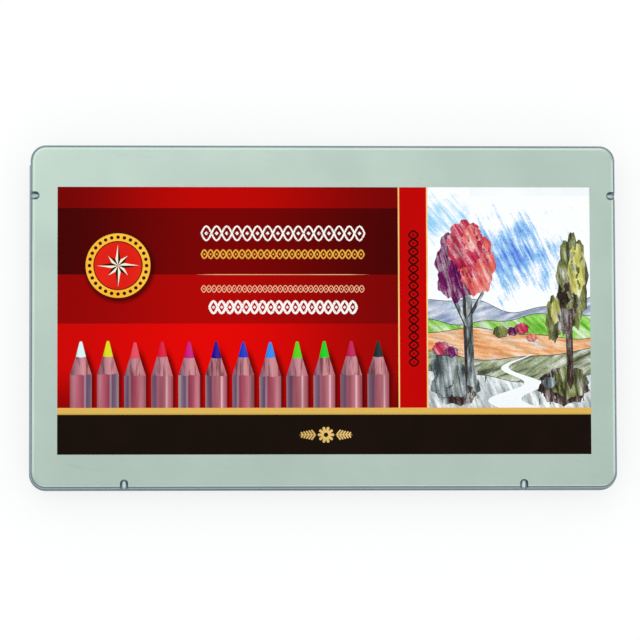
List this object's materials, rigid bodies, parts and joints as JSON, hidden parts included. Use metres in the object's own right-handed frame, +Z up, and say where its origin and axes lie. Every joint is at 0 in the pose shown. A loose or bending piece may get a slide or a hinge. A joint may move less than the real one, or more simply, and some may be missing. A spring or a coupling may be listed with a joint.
{
  "type": "hinged pencil tin",
  "caption": "Flat rectangular metal tin with a printed, wire-hinged lid that shuts on stop dents over a formed tray holding a row of round wooden pastel pencils.",
  "frame": {"origin": "middle of the flat underside, on the surface that the tin lies on", "axes": "+X along the tin's length towards the pencils' points, +Y towards the hinge, +Z up through the lid"},
  "size_m": [0.205, 0.1202, 0.014],
  "materials": {
    "tin_lid": "satin lacquered tinplate",
    "tin_base": "satin lacquered tinplate",
    "hinge_steel": "drawn steel wire",
    "tray_plastic": "vacuum formed",
    "pencil_wood": "clear lacquered cedar",
    "pastel_white": "chalky pastel",
    "pastel_yellow": "chalky pastel",
    "pastel_coral": "chalky pastel",
    "pastel_crimson": "chalky pastel",
    "pastel_magenta": "chalky pastel",
    "pastel_indigo": "chalky pastel",
    "pastel_cobalt": "chalky pastel",
    "pastel_sky_blue": "chalky pastel",
    "pastel_leaf_green": "chalky pastel",
    "pastel_bright_green": "chalky pastel",
    "pastel_raspberry": "chalky pastel",
    "pastel_black": "chalky pastel"
  },
  "bodies": {
    "base": {"base_shell": "tin_base", "hinge_wire": "hinge_steel", "pencil_tray": "tray_plastic", "pencil_barrel_01": "pencil_wood", "pencil_barrel_02": "pencil_wood", "pencil_barrel_03": "pencil_wood", "pencil_barrel_04": "pencil_wood", "pencil_barrel_05": "pencil_wood", "pencil_barrel_06": "pencil_wood", "pencil_barrel_07": "pencil_wood", "pencil_barrel_08": "pencil_wood", "pencil_barrel_09": "pencil_wood", "pencil_barrel_10": "pencil_wood", "pencil_barrel_11": "pencil_wood", "pencil_barrel_12": "pencil_wood", "pencil_core_01": "pastel_white", "pencil_core_02": "pastel_yellow", "pencil_core_03": "pastel_coral", "pencil_core_04": "pastel_crimson", "pencil_core_05": "pastel_magenta", "pencil_core_06": "pastel_indigo", "pencil_core_07": "pastel_cobalt", "pencil_core_08": "pastel_sky_blue", "pencil_core_09": "pastel_leaf_green", "pencil_core_10": "pastel_bright_green", "pencil_core_11": "pastel_raspberry", "pencil_core_12": "pastel_black"},
    "lid": {"lid_shell": "tin_lid"}
  },
  "joints": [
    {"name": "lid_hinge", "type": "hinge", "parent": "base", "child": "lid", "pos_m": [0, 0.0585, 0.01005], "axis": [-1, 0, 0], "range_deg": [0, 120]}
  ]
}
